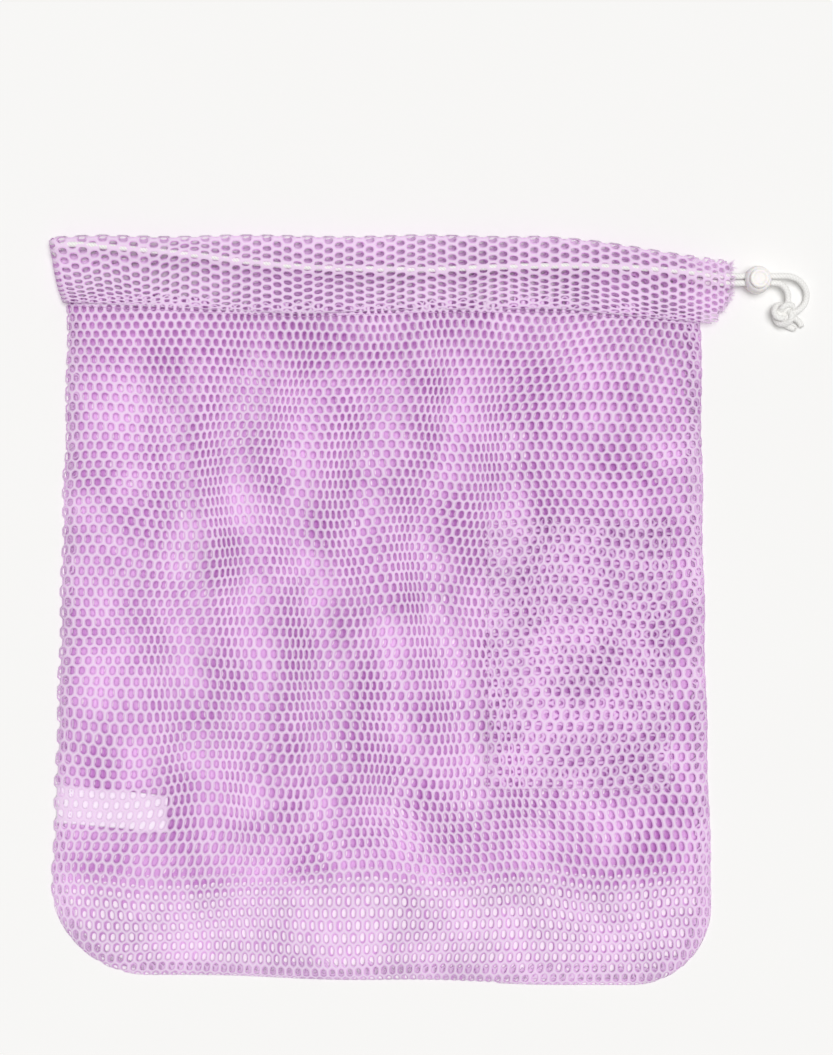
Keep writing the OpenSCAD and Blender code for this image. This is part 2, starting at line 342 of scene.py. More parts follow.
def net_material():
    """Warp-knitted polyester: twisted filaments, with some light through them, and painted shade round the
    holes and on the inside faces.
    """
    n = Nodes("net_yarn")
    along_it, round_it = n.yarn()
    rim = n.attribute("rim")
    # two plied ends, whose loops lie aslant on the yarn
    slant = n.math("MULTIPLY_ADD", along_it, 2.0, round_it)
    ply = n.ply(slant)
    fibre = n.noise(2600.0, 4.0, 0.6)
    patch = n.noise(18.0, 2.0, 0.5)
    # outer face: lighter on the ridge, darker and more purple towards the holes; partly the thinner yarn at
    # its edges, partly painted shade for the strand's roundness
    outside = n.mix(n.math("POWER", rim, 2.2), (0.985, 0.955, 0.995), (0.905, 0.680, 0.925))
    # the inside faces are painted deeper and more purple: painted shade, which imitates the photo's bags
    # behind and the shade under the layers above, and a painted tint of light that has been through yarn; a
    # noise sets how deep it is from place to place, and it is deepest at the holes
    depth = n.add("ShaderNodeMapRange", {
        "Value": n.noise(24.0, 2.0, 0.6), "From Min": 0.36, "From Max": 0.64}).outputs[0]
    inside = n.mix(rim, n.mix(depth, (0.46, 0.12, 0.49), (0.925, 0.76, 0.94)),
                   n.mix(depth, (0.28, 0.03, 0.32), (0.79, 0.49, 0.8)))
    # the inner attribute tells how much of this painted inside shade each face gets
    body = n.mix(n.attribute("inner"), outside, inside)
    # yarn over the cord or label is painted paler, as seen from above: painted light, standing for the white
    # below that shows through the translucent yarn; it is paint in place, not translucency
    painted_light_on_white = n.attribute("painted_light_on_white")
    body = n.mix(painted_light_on_white, body, (0.96, 0.945, 0.965))
    body = n.tint(body, fibre, 0.3, (0.96, 0.86, 0.965))
    body = n.tint(body, patch, 0.1, (0.84, 0.64, 0.87))
    body = n.mix(n.math("MULTIPLY_ADD", ply, 0.04, 0.04), body, (0.760, 0.480, 0.790))
    normal = n.bump(ply, 0.00004, 0.5)
    normal = n.bump(fibre, 0.00003, 0.5, normal)
    cloth = n.principled(
        Base_Color=body, Roughness=0.62, Normal=normal, Sheen_Weight=0.12, Sheen_Roughness=0.4,
        Sheen_Tint=(0.95, 0.78, 0.96, 1), Specular_IOR_Level=0.15)
    cloth = n.lit_through(0.28, cloth, (0.94, 0.5, 0.95), Normal=normal)
    # light passes between the filaments too, and comes out tinted
    gap = n.add("ShaderNodeBsdfTransparent", {"Color": (0.340, 0.035, 0.350, 1)}).outputs[0]
    lamp_ray = n.add("ShaderNodeLightPath").outputs["Is Shadow Ray"]
    return n.show(n.mix_shader(lamp_ray, cloth, gap))


def thread_material():
    n = Nodes("seam_thread")
    along_it, round_it = n.yarn()
    # distance in millimetres and turns round the thread make the slanting ply
    slant = n.math("MULTIPLY_ADD", along_it, 1.6, n.math("MULTIPLY", round_it, 3.0))
    ply = n.ply(slant)
    fibre = n.noise(3000.0, 3.0)
    body = n.mix(n.math("MULTIPLY_ADD", ply, 0.25, 0.25), (0.950, 0.730, 0.960), (0.860, 0.540, 0.890))
    body = n.tint(body, fibre, 0.3, (0.9, 0.8, 0.93))
    normal = n.bump(ply, 0.00003, 0.4)
    cloth = n.principled(Base_Color=body, Roughness=0.6, Normal=normal, Specular_IOR_Level=0.15)
    return n.show(n.lit_through(0.35, cloth, (0.95, 0.6, 0.96)))


def cord_material():
    """Braided white polyester: matt, with the grooves between the yarns painted greyer as painted shade."""
    n = Nodes("braided_cord")
    rim = n.attribute("rim")
    fibre = n.noise(2200.0, 4.0, 0.65)
    soil = n.noise(60.0, 3.0, 0.5)
    # painted shade: the grooves between the yarns are greyer, the crowns lighter
    body = n.mix(rim, (0.74, 0.73, 0.7), (0.94, 0.935, 0.92))
    body = n.tint(body, fibre, 0.25, (0.99, 0.99, 0.98))
    body = n.tint(body, soil, 0.14, (0.82, 0.8, 0.76))
    normal = n.bump(fibre, 0.00012, 0.5)
    return n.show(n.principled(
        Base_Color=body, Roughness=0.72, Normal=normal, Sheen_Weight=0.3, Sheen_Roughness=0.5))


def label_material():
    """Blank white satin ribbon: fine warp threads, woven edges, a little light through it and a faint painted
    glow.
    """
    n = Nodes("label_satin")
    warp = n.add("ShaderNodeTexWave", {"Vector": n.where, "Scale": 260.0, "Distortion": 1.2, "Detail": 2.0,
                                        "Detail Scale": 3.0}, bands_direction="Y").outputs["Fac"]
    weft = n.add("ShaderNodeTexWave", {"Vector": n.where, "Scale": 420.0, "Distortion": 0.8, "Detail": 1.0,
                                        "Detail Scale": 3.0}, bands_direction="X").outputs["Fac"]
    weave = n.math("MULTIPLY", warp, weft)
    body = n.mix(weave, (0.95, 0.945, 0.955), (0.99, 0.99, 0.99))
    body = n.tint(body, n.noise(40.0), 0.08, (0.9, 0.88, 0.92))
    normal = n.bump(weave, 0.00006, 0.7)
    # a faint glow of its own: painted light that keeps the label bright under the net's shade, like the glow
    # an optical brightener gives
    cloth = n.principled(
        Base_Color=body, Roughness=0.38, Normal=normal, Sheen_Weight=0.15,
        Emission_Color=(0.96, 0.97, 1.0, 1), Emission_Strength=0.04)
    return n.show(n.lit_through(0.25, cloth, (0.96, 0.94, 0.97), Normal=normal))


def plastic_material(name, light, deep):
    """Moulded plastic: a fine satin grain, a faint flow mottle, and duller rubbed patches."""
    n = Nodes(name)
    grain = n.noise(1800.0, 3.0)
    flow = n.noise(120.0, 4.0, 0.6)
    rub = n.noise(420.0, 5.0, 0.7)
    body = n.mix(flow, deep, light)
    body = n.tint(body, n.math("GREATER_THAN", rub, 0.62), 0.12, (0.80, 0.76, 0.70))
    rough = n.math("MULTIPLY_ADD", rub, 0.20, 0.42)
    normal = n.bump(grain, 0.00005, 0.35)
    return n.show(n.principled(
        Base_Color=body, Roughness=rough, Normal=normal, Specular_IOR_Level=0.35, Subsurface_Weight=0.4,
        Subsurface_Radius=(0.004, 0.003, 0.002), Subsurface_Scale=0.5))


def steel_material():
    n = Nodes("spring_wire")
    drawn = n.noise(900.0, 4.0, 0.7)
    body = n.mix(drawn, (0.48, 0.48, 0.5), (0.72, 0.72, 0.73))
    rough = n.math("MULTIPLY_ADD", drawn, 0.2, 0.22)
    return n.show(n.principled(
        Base_Color=body, Metallic=1.0, Roughness=rough, Normal=n.bump(drawn, 0.00003, 0.4)))


NET = net_material()
THREAD = thread_material()
CORD = cord_material()
LABEL = label_material()
LOCK = plastic_material("lock_moulding", (0.955, 0.92, 0.90), (0.92, 0.87, 0.85))
BUTTON = plastic_material("button_moulding", (0.955, 0.925, 0.90), (0.92, 0.88, 0.85))
STEEL = steel_material()

# ---- The drawcord ----

# Both free ends from the channel's raw end, through the lock, to the knot, in metres
FREE_FRONT = [
    (0.24, 0.2334, 0.0107), (0.246, 0.2334, 0.0105), (0.26, 0.2334, 0.0105), (0.276, 0.2334, 0.0105),
    (0.283, 0.2333, 0.0101), (0.2895, 0.231, 0.0086), (0.294, 0.2265, 0.0064), (0.296, 0.2205, 0.0042),
    (0.2945, 0.2145, 0.0032), (0.29, 0.21, 0.0046), (0.284, 0.2075, 0.0065),
]
FREE_BACK = [
    (0.24, 0.2286, 0.0103), (0.246, 0.2286, 0.0105), (0.26, 0.2286, 0.0105), (0.273, 0.2286, 0.0105),
    (0.2775, 0.2276, 0.0103), (0.2808, 0.2242, 0.0098), (0.2823, 0.2195, 0.0091), (0.282, 0.214, 0.0084),
    (0.281, 0.208, 0.0078),
]
TAIL_A = [(0.283, 0.206, 0.0065), (0.287, 0.2045, 0.005), (0.2905, 0.2025, 0.0032), (0.2925, 0.1995, 0.0023)]
TAIL_B = [(0.279, 0.203, 0.0055), (0.2815, 0.2, 0.0038), (0.2845, 0.1984, 0.0026), (0.2875, 0.1974, 0.0023)]
# The stretch that the channel holds: in its front, round the turn, and back behind
HELD_FRONT = [
    (0.21, 0.236), (0.18, 0.2385), (0.145, 0.24), (0.11, 0.24), (0.07, 0.239), (0.03, 0.2375),
    (-0.01, 0.238), (-0.05, 0.239), (-0.09, 0.2425), (-0.13, 0.2475), (-0.17, 0.2515),
    (-0.205, 0.2545), (-0.219, 0.255),
]
HELD_BACK = [
    (-0.219, 0.246), (-0.205, 0.2455), (-0.17, 0.245), (-0.13, 0.244), (-0.09, 0.241), (-0.05, 0.2385),
    (-0.01, 0.2375), (0.03, 0.237), (0.07, 0.238), (0.11, 0.2385), (0.145, 0.238), (0.18, 0.2355),
    (0.21, 0.232),
]
HELD = [
    (0.24, 0.2334, 0.0107), (0.234, 0.2334, 0.0109), (0.227, 0.2339, 0.0121), (0.219, 0.2349, 0.014),
    *[(*xy, 0.0149) for xy in HELD_FRONT],
    (-0.2255, 0.253, 0.0127), (-0.2285, 0.2505, 0.0092), (-0.2255, 0.248, 0.0056),
    *[(*xy, 0.0033) for xy in HELD_BACK],
    (0.219, 0.2306, 0.0052), (0.227, 0.2293, 0.0084), (0.234, 0.2286, 0.0101), (0.24, 0.2286, 0.0103),
]

CARRIERS = 8  # yarns that go each way round the braid
BRAID_LAY = 9.0  # length over which one yarn goes round once
BRAID_RELIEF = 0.3


def braid(distance, turn):
    """Height of a tubular braid: each diamond shows the yarn that passes over the other there."""
    a = CARRIERS * (turn + distance / BRAID_LAY)
    b = CARRIERS * (turn - distance / BRAID_LAY)
    over = (np.floor(a / 2) + np.floor(b / 2)) % 2 == 0
    yarn = np.where(over, np.sin(math.pi * (a % 2) / 2), np.sin(math.pi * (b % 2) / 2))
    return BRAID_RELIEF * (yarn - 1)


def braided(name, paths, nodes, sides=24, step=0.45):
    """A braided cord along one or more paths, given in millimetres."""
    parts, heights = [], []
    for path in paths:
        path = spaced(smooth_path(path, 0.8), step)
        parts.append(tube(path, CORD_D / 2, sides, braid))
        # the groove depth goes into the rim attribute, which the cord material turns into painted shade
        level = braid(along(path)[:, None], np.arange(sides)[None, :] / sides)
        heights.append(np.concatenate([(1 + level / BRAID_RELIEF).ravel(), [0.5, 0.5]]))
    return new_mesh(name, joined(parts), CORD, nodes, rim=np.concatenate(heights))


def mm(points):
    return np.array(points) / MM


def free_cord(name, node, route):
    piece = braided(name, [mm(route)], [node])


free_cord("cord_end_front_braid", "cord_end_front", FREE_FRONT)
free_cord("cord_end_back_braid", "cord_end_back", FREE_BACK)
braided("drawcord_braid", [mm(HELD)], ["drawcord"])


FRAY_REACH = 1.8
FRAY_COUNT = 26  # filaments at each cut end


def fray(ends):
    """Short loose filaments that spread out of cut ends, given as (point, direction) in millimetres."""
    rng = np.random.default_rng(11)
    parts = []
    for point, ahead in ends:
        ahead = ahead / np.linalg.norm(ahead)
        for _ in range(FRAY_COUNT):
            off = rng.normal(0, 1, 3)
            off -= ahead * np.dot(off, ahead)
            off /= np.linalg.norm(off)
            start = point + off * rng.uniform(0.2, 1.7)
            reach = FRAY_REACH * rng.uniform(0.4, 1.1)
            path = np.array([start, start + ahead * reach * 0.5 + off * 0.1,
                             start + ahead * reach + off * rng.uniform(0.1, 0.7)])
            path[:, 2] = np.maximum(path[:, 2], 0.15)
            parts.append(tube(path, [0.13, 0.11, 0.05], 4))
    return parts


def knot():
    """A tight overhand knot tied in both cords at once, lying on the floor."""
    low, high = box_mm("cord_knot")
    middle = (low + high) / 2
    t = np.linspace(0.12, math.tau - 0.12, 90)
    flat = 2.05 + np.cos(3 * t)
    # a trefoil, longer along X than across
    core = columns(2.2 * flat * np.cos(2 * t), 1.95 * flat * np.sin(2 * t), 3.9 * np.sin(3 * t))
    turn = math.radians(25)
    c, s = math.cos(turn), math.sin(turn)
    core = core @ np.array([[c, s, 0], [-s, c, 0], [0, 0, 1]])
    ahead = np.gradient(core, axis=0)
    across = unit(np.cross(ahead, [0, 0, 1]))
    pair = np.array([0, 0, 1]) * 0.75 + across * 0.66
    paths = [core + middle + side * 1.75 * pair for side in (-1, 1)]
    lowest = min(p[:, 2].min() for p in paths) - CORD_D / 2
    for p in paths:
        p[:, 2] -= lowest - 0.05
    braided("cord_knot_braid", paths, ["cord_knot"], sides=20, step=0.5)


knot()
braided("cord_tails_braid", [mm(TAIL_A), mm(TAIL_B)], ["cord_tails"])
tail_ends = [(mm(t)[-1], mm(t)[-1] - mm(t)[-2]) for t in (TAIL_A, TAIL_B)]
new_mesh("cord_tail_fray", joined(fray(tail_ends)), CORD, rim=0.8)

# ---- The net ----

# Corners of one cell, clockwise from the top, in quarters of a pitch and sixths of a row
RING = np.array([(0, 4), (2, 2), (2, -2), (0, -4), (-2, -2), (-2, 2)])
HOLE_SIDES = 12  # two for each side of the cell


def lattice(u_low, u_high, v_low, v_high, pitch=PITCH, row=ROW):
    """Middles of all the cells in a flat rectangle, in the ring's whole-number units."""
    j, i = np.meshgrid(np.arange(math.floor(v_low / row), math.ceil(v_high / row) + 1),
                       np.arange(math.floor(u_low / pitch), math.ceil(u_high / pitch) + 1), indexing="ij")
    cells = columns(4 * i.ravel() + 2 * (j.ravel() % 2), 6 * j.ravel())
    return cells


def inside_on(upper, lower):
    """sides() for a net: how much of the bag's inner side its upper and lower faces are, which is how much
    painted inside shade they get.
    """
    return lambda u: (np.full_like(u, upper), np.full_like(u, lower))


# the front's lower face and the back's upper face lie inside the bag and get the painted inside shade
FRONT_SIDES = inside_on(0, 1)
BACK_SIDES = inside_on(1, 0)


def net(cells, place, seed, pitch=PITCH, row=ROW, hole=HOLE, slack=0.12, sides=FRONT_SIDES):
    """(points, quads, uv, rim, inner) of a net.

    place(u, v, w) puts a flat point into space, with w up out of the cloth. sides(u) tells which of its faces
    are inside the bag, and so get the painted inside shade.
    """
    rng = np.random.default_rng(seed)
    grid = np.array([pitch / 4, row / 6])
    corner = cells[:, None, :] + RING[None]
    keys = corner[..., 0] * 100003 + corner[..., 1]
    found, first, ring = np.unique(keys.ravel(), return_index=True, return_inverse=True)
    ring = ring.reshape(len(cells), len(RING))
    flat = corner.reshape(-1, 2)[first] * grid + rng.normal(0, slack, (len(found), 2))
    angle = math.pi / 2 - np.arange(HOLE_SIDES) * math.tau / HOLE_SIDES
    c, s = np.cos(angle), np.sin(angle)
    oval = columns(hole[0] * pitch * np.sign(c) * np.abs(c) ** 0.85,
                     hole[1] * row * np.sign(s) * np.abs(s) ** 0.85)
    size = 1 + rng.normal(0, 0.035, (len(cells), 1, 2))
    shift = rng.normal(0, slack, (len(cells), 1, 2))
    rim_flat = (cells[:, None, :] * grid + shift + oval[None] * size).reshape(-1, 2)
    n, m = len(found), len(cells)
    top = place(flat[:, 0], flat[:, 1], NET_T / 2)
    bottom = place(flat[:, 0], flat[:, 1], -NET_T / 2)
    middle = place(rim_flat[:, 0], rim_flat[:, 1], 0.0)
    points = np.vstack([top, bottom, middle])
    k = 2 * np.arange(len(RING))[None]
    after = np.roll(ring, -1, axis=1)
    start = 2 * n + np.arange(m)[:, None] * HOLE_SIDES
    rim, rim_mid, rim_after = start + k, start + k + 1, start + (k + 2) % HOLE_SIDES
    # three triangles between each side of the cell and the hole
    fan = [(ring, rim, rim_mid, rim_mid), (ring, rim_mid, after, after),
           (after, rim_mid, rim_after, rim_after)]
    upper = np.stack([np.stack(f, axis=-1) for f in fan], axis=2).reshape(-1, 4)
    lower = np.where(upper < n, upper + n, upper)[:, [0, 2, 1, 1]]
    # one face closes each outer edge of the net
    a, b = ring.ravel(), after.ravel()
    edge = np.minimum(a, b) * n + np.maximum(a, b)
    _, index, count = np.unique(edge, return_index=True, return_counts=True)
    a, b = a[index[count == 1]], b[index[count == 1]]
    closing = columns(a, b, b + n, a + n)
    # the yarn's own coordinates: turns round the hole, and 0 on the ridge to 1 at the hole
    fan_uv = np.array([
        [[(j, 0), (j, 1), (j + 0.5, 1), (j + 0.5, 1)],
         [(j, 0), (j + 0.5, 1), (j + 1, 0), (j + 1, 0)],
         [(j + 1, 0), (j + 0.5, 1), (j + 1, 1), (j + 1, 1)]] for j in range(len(RING))])
    fan_uv = np.tile(fan_uv.reshape(-1, 4, 2) / [len(RING), 1], (m, 1, 1))
    uv = np.vstack([fan_uv, fan_uv[:, [0, 2, 1, 1]], np.zeros((len(closing), 4, 2))])
    shade = np.concatenate([np.zeros(2 * n), np.ones(HOLE_SIDES * m)])
    inner = np.concatenate([*sides(flat[:, 0]), np.mean(sides(rim_flat[:, 0]), axis=0)])
    return points, np.vstack([upper, lower, closing]), uv, shade, inner


def net_piece(name, nets, node):
    piece = new_mesh(name, joined([x[:3] for x in nets]), NET, [node],
                     rim=np.concatenate([x[3] for x in nets]), inner=np.concatenate([x[4] for x in nets]))
    return piece


# ---- The body's outline ----

def left_side(y):
    """X of the left edge: it leans out towards the bottom."""
    t = np.clip((SEAM_Y - y) / 397, 0, 1.2)
    return -(HALF_TOP - 0.5 + 11.0 * t ** 1.4 + 0.5 * np.sin(y / 11.0))


def right_side(y):
    t = np.clip((SEAM_Y - y) / 397, 0, 1.2)
    return HALF_TOP + 7.0 * t ** 1.8 + 0.5 * np.sin(y / 13.0 + 1)


def bottom_edge(x):
    """Y of the bottom edge, which slants down to the right."""
    return back_low[1] - 0.024 * x + 0.7 * np.sin(x / 23.0)


def body_outline():
    """The outline as an anticlockwise polygon. Its top is out of the way, under the channel."""
    def corner(middle_x, low_y, radius, start, end, count):
        a = np.radians(np.linspace(start, end, count))
        return np.array([middle_x, low_y + radius]) + radius * columns(np.cos(a), np.sin(a))
    y = np.arange(240, -180, -12.0)
    left = columns(left_side(y), y)
    r = CORNER_LEFT_R
    left_corner = corner(left_side(-183.0) + r, bottom_edge(-165.0), r, 182, 268, 14)
    x = np.arange(-150, 165, 15.0)
    bottom = columns(x, bottom_edge(x))
    r = CORNER_RIGHT_R
    right_corner = corner(right_side(-200.0) - r, bottom_edge(175.0), r, 272, 358, 12)
    y = np.arange(-192, 245, 12.0)
    right = columns(right_side(y), y)
    return np.vstack([left, left_corner, bottom, right_corner, right])


OUTLINE = body_outline()


def edge_distance(x, y):
    """(distance inside the outline, nearest point on it, direction inwards) for each point."""
    a, b = OUTLINE, np.roll(OUTLINE, -1, axis=0)
    d = b - a
    p = columns(x, y)
    best = np.full(len(p), np.inf)
    near, inward = np.zeros_like(p), np.zeros_like(p)
    for i in range(len(a) - 1):
        t = np.clip(((p - a[i]) @ d[i]) / (d[i] @ d[i]), 0, 1)
        q = a[i] + t[:, None] * d[i]
        gap = np.linalg.norm(p - q, axis=1)
        closer = gap < best
        best = np.where(closer, gap, best)
        near[closer] = q[closer]
        inward[closer] = np.array([-d[i][1], d[i][0]]) / np.linalg.norm(d[i])
    side = np.sign(((p - near) * inward).sum(1))
    side[side == 0] = 1
    return side * best, near, inward


EDGE_WRAP = 2.3  # how softly the net turns round the bag's edge


def wrapped(x, y):
    """Points moved in so that what is past the outline lies packed along it, and their distance inside it."""
    d, near, inward = edge_distance(x, y)
    f = EDGE_WRAP * np.logaddexp(0, d / EDGE_WRAP)
    close = d < 8 * EDGE_WRAP
    x = np.where(close, near[:, 0] + inward[:, 0] * f, x)
    y = np.where(close, near[:, 1] + inward[:, 1] * f, y)
    return x, y, f


# ---- Lie of the front and back ----

FOLD_WAVE = 46.0  # distance between the soft upright folds


def folds(x, y):
    """(height, gathering) of the soft folds in the middle of the front: cloth bunches on one side of each."""
    here = smoothstep(x, -190, -130) * (1 - smoothstep(x, 60, 150))
    here = here * smoothstep(y, -190, -120) * (1 - 0.65 * smoothstep(y, 120, 205))
    lean = 11 * np.sin(y / 68.0 + 0.6) + 7 * np.sin(y / 37.0 + x / 55.0)
    turn = math.tau * (x + 66 + lean) / FOLD_WAVE
    height = np.cos(turn) + 0.35 * np.cos(math.tau * (x + 0.25 * y) / 83.0 + 1)
    bunch = (0.5 + 0.5 * np.cos(turn - 0.9)) ** 1.4 * (0.7 + 0.3 * np.sin(x / 17.0 + y / 31.0))
    return here * height, here * bunch


def front_height(x, y, f):
    """Height of the front's middle surface; f is the distance from the edge."""
    middle = smoothstep(y, -200, -140)
    rise = smoothstep(y, 150, 203)
    loft = 2.2 + 3.6 * middle + 0.7 * ripple(x, y, 5, 120) * (0.4 + middle)
    loft = loft + 2.4 * folds(x, y)[0] + rise * (9.6 - 5.8)
    return 1.3 + loft * (1 - np.exp(-f / (5 + 5 * middle)))


def back_height(x, y, f):
    return 0.46 + 0.22 * (1 + ripple(x, y, 9, 90)) * (1 - np.exp(-f / 8)) + 0.45 * np.exp(-f / 3)


def gathered_columns(bunching):
    """Tables that turn a flat column and row into x: folds take up cloth, so their cells look narrower."""
    ys = np.linspace(back_low[1] - 20, SEAM_Y + 30, 90)
    share = np.linspace(0, 1, 500)
    table = []
    for y in ys:
        left, right = float(left_side(y)), float(right_side(y))
        x = left + (right - left) * share
        taken = 1 + bunching * folds(x, np.full_like(x, y))[1]
        cloth = np.concatenate([[0], np.cumsum(taken[1:] * np.diff(x))])
        table.append(np.interp(share, cloth / cloth[-1], x))
    half = WIDTH_CELLS * PITCH / 2
    return ys, share * 2 * half - half, np.array(table)


def look_up(tables, u, y):
    ys, us, table = tables
    r = np.clip((y - ys[0]) / (ys[1] - ys[0]), 0, len(ys) - 1.001)
    c = (u - us[0]) / (us[1] - us[0])
    over = np.clip(c, 0, len(us) - 1.001)
    i, j = r.astype(int), over.astype(int)
    s, t = r - i, over - j
    x = ((1 - s) * ((1 - t) * table[i, j] + t * table[i, j + 1])
         + s * ((1 - t) * table[i + 1, j] + t * table[i + 1, j + 1]))
    return x + (c - over) * (us[1] - us[0])


def row_tables():
    """Rows lie wide apart near the bottom and closer towards the mouth."""
    y = np.linspace(back_low[1] - 30, SEAM_Y + 40, 400)
    squeeze = 1.04 - 0.18 * smoothstep(y, -190, 180) - 0.03 * smoothstep(y, 120, 220)
    v = np.concatenate([[0], np.cumsum(np.diff(y) / squeeze[1:])])
    return v - np.interp(0, y, v), y


ROWS = row_tables()
WIDTH_CELLS = 77


def panel_place(height, tables, seed, drift, turn=0.0, shift=(0.0, 0.0), slip=0.0):
    """place() for a panel. drift is how far the cells wander; turn and shift set it off from its neighbour.

    slip is how much further the rows are shifted near the bottom.
    """
    def place(u, v, w, raw=False):
        cu, su = math.cos(turn), math.sin(turn)
        u, v = u * cu - v * su + shift[0], u * su + v * cu + shift[1]
        v = v + slip * smoothstep(-v, 165, 215)
        y = np.interp(v, *ROWS)
        x = look_up(tables, u, y)
        inside = np.clip(1 - np.abs(u) / (WIDTH_CELLS * PITCH / 2), 0, 0.1) / 0.1
        x = x + drift * ripple(x, y, seed, 110) * inside
        y = y + drift * ripple(x, y, seed + 1, 130)
        if raw:
            return x, y
        x, y, f = wrapped(x, y)
        z = height(x, y, f)
        step = 0.5
        zx = (height(x + step, y, f) - z) / step
        zy = (height(x, y + step, f) - z) / step
        out = unit(columns(-zx, -zy, np.ones_like(z)))
        return columns(x, y, z) + out * w
    return place


def panel_cells(place):
    """A panel's cells, and for each one its distance inside the outline and its X and Y."""
    cells = lattice(-250, 250, -330, 260)
    x, y = place(cells[:, 0] * PITCH / 4, cells[:, 1] * ROW / 6, 0.0, raw=True)
    return cells, edge_distance(x, y)[0], x, y


def seam_line(x):
    """Y of the channel's lower edge, which dips towards both ends of the cord's run."""
    at = [-233, -128, -58, 12, 124, 180, 236, 250]
    return np.interp(x, at, [216.0, 210.7, 207.2, 210.0, 210.7, 205.0, 200.0, 199.0])


UNDER_CHANNEL = 6.0  # how far the panels reach up under the channel


def panel_net(place, seed, sides=FRONT_SIDES, hole=HOLE, slack=0.12):
    cells, inside, x, y = panel_cells(place)
    keep = (inside > -0.9 * PITCH) & (y < seam_line(x) + UNDER_CHANNEL)
    return net(cells[keep], place, seed, hole=hole, slack=slack, sides=sides)


ALLOWANCE = 9.0  # cloth turned in along the seams


def allowance_net(place, seed, level):
    """The seam allowance: the same cloth folded back inside the bag, along its sides and bottom."""
    def turned_in(u, v, w):
        p = place(u, v, w * 0.7)
        f = wrapped(p[:, 0], p[:, 1])[2]
        p[:, 2] += level * (1 - np.exp(-f / 2.5))
        return p
    cells, inside, x, y = panel_cells(place)
    ragged = ALLOWANCE + np.random.default_rng(seed).uniform(-1.5, 1.5, len(cells))
    keep = (inside > 0.1 * PITCH) & (inside < ragged) & (y < SEAM_Y - 2)
    # the turned-in allowance gets part of the painted inside shade on both faces
    return net(cells[keep], turned_in, seed, sides=inside_on(0.45, 0.45))


front_tables = gathered_columns(1.1)
back_tables = gathered_columns(1.02)
front_place = panel_place(front_height, front_tables, 21, 4.0)
back_place = panel_place(back_height, back_tables, 21, 3.8, turn=0.003, shift=(3.0, 0.8), slip=6.3)
front_in = panel_place(front_height, front_tables, 41, 1.0, turn=-0.012, shift=(3.4, -1.2))
back_in = panel_place(back_height, back_tables, 51, 1.0, turn=0.01, shift=(-1.5, 1.8))

SLACK_HOLE = (0.272, 0.372)
front = net_piece("front_net", [panel_net(front_place, 61), allowance_net(front_in, 62, -0.75)],
                  "front_panel")
# the back lies slack under the front, so its holes have closed a little; its cells fill the front's holes
net_piece("back_net",
          [panel_net(back_place, 63, BACK_SIDES, SLACK_HOLE, 0.3), allowance_net(back_in, 64, 0.75)],
          "back_panel")

# ---- The channel: one strip, turned 90 degrees, folded over at the mouth and carried round the left end ----

TURN_X = -226.0  # where the strip starts to turn round the left end
TURN_LEN = 18.0
GATHER = 24.0  # cloth taken up near the raw end, where the cord draws it together
SIDE_LEN = RAW_END_X - TURN_X + GATHER
STRIP_ROW = 7.15
STRIP_PITCH = 5.3
END_LEAN = 9.5  # how far the left end slopes in from the fold to the seam
FOLD_R = 0.75  # radius of the fold at the mouth
HEM_WRAP = 1.0  # how softly the strip turns in at its two seams
CHANNEL_DEPTH = FOLD_Y - SEAM_Y
DROP_X = RAW_END_X - 136
DROP = 18.0
INNER_END_X = HALF_TOP - 9
HELD_MM = mm(HELD)
FRONT_CORD = HELD_MM[:17][::-1]
BACK_CORD = HELD_MM[20:]


def fold_line(x):
    """Y of the fold at the mouth: level, then down towards the raw end."""
    t = np.clip((x - DROP_X) / (RAW_END_X - DROP_X), 0, 1)
    return FOLD_Y - 0.6 - DROP * t ** 1.15 + 0.6 * np.sin(x / 19.0) - 1.5 * smoothstep(-x, 190, 233)


def bump(y, middle, width):
    return np.exp(-((y - middle) / width) ** 2)


def channel_levels(x, y):
    """Heights of the four layers at a place: front outer, front inner, back inner, back outer."""
    front_y = np.interp(x, FRONT_CORD[:, 0], FRONT_CORD[:, 1])
    back_y = np.interp(x, BACK_CORD[:, 0], BACK_CORD[:, 1])
    end = smoothstep(x, 205, 246)
    sag = 0.6 * ripple(x, y, 71, 60)
    front_outer = 12.3 + sag + (5.3 - 0.4 * np.abs(sag)) * bump(y, front_y, 7.5)
    front_end = 7.4 + 6.2 * bump(y, 231, 8.5) + 0.5 * np.sin(y / 2.6)
    front_outer = front_outer * (1 - end) + front_end * end
    front_inner = 10.6 + sag + (1.4 - sag) * bump(y, front_y, 9)
    back_outer = 0.5 + 2.6 * end + 0.25 * np.abs(sag)
    back_inner = 1.7 + 4.5 * bump(y, back_y, 7) + end * 1.0
    return front_outer, front_inner, back_inner, back_outer


def raw_gather(v):
    """X at a distance along the strip from its raw end, where its cells are gathered up."""
    return RAW_END_X - v + GATHER * (1 - np.exp(-np.maximum(v, -5) / 34))


